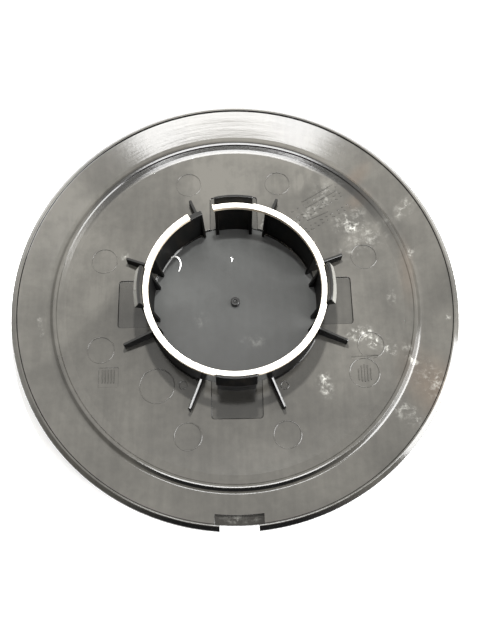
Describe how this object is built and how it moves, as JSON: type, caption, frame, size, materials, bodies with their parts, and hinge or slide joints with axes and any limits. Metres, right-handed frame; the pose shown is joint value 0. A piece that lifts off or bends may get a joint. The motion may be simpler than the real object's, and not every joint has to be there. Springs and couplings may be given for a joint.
{
  "type": "wheel centre cap",
  "caption": "Round plastic wheel centre cap with snap clips, ribbed arc walls, a ridge, a dished flange with a pry notch, and a split retaining ring.",
  "frame": {"origin": "on the cap's axis, on the flat of its outer face, which it rests on", "axes": "+Z along the axis from the outer face to the clips, towards the wheel; the pry notch is at -Y and the clips are at +X, +Y, -X and -Y"},
  "size_m": [0.151, 0.1508, 0.0222],
  "materials": {
    "cap_plastic": "dark grey moulded plastic with a dull sheen, scuffed and dusty",
    "ring_plastic": "off-white moulded plastic, smooth"
  },
  "bodies": {
    "root": {"cap_moulding": "cap_plastic", "retaining_ring": "ring_plastic"}
  },
  "joints": []
}
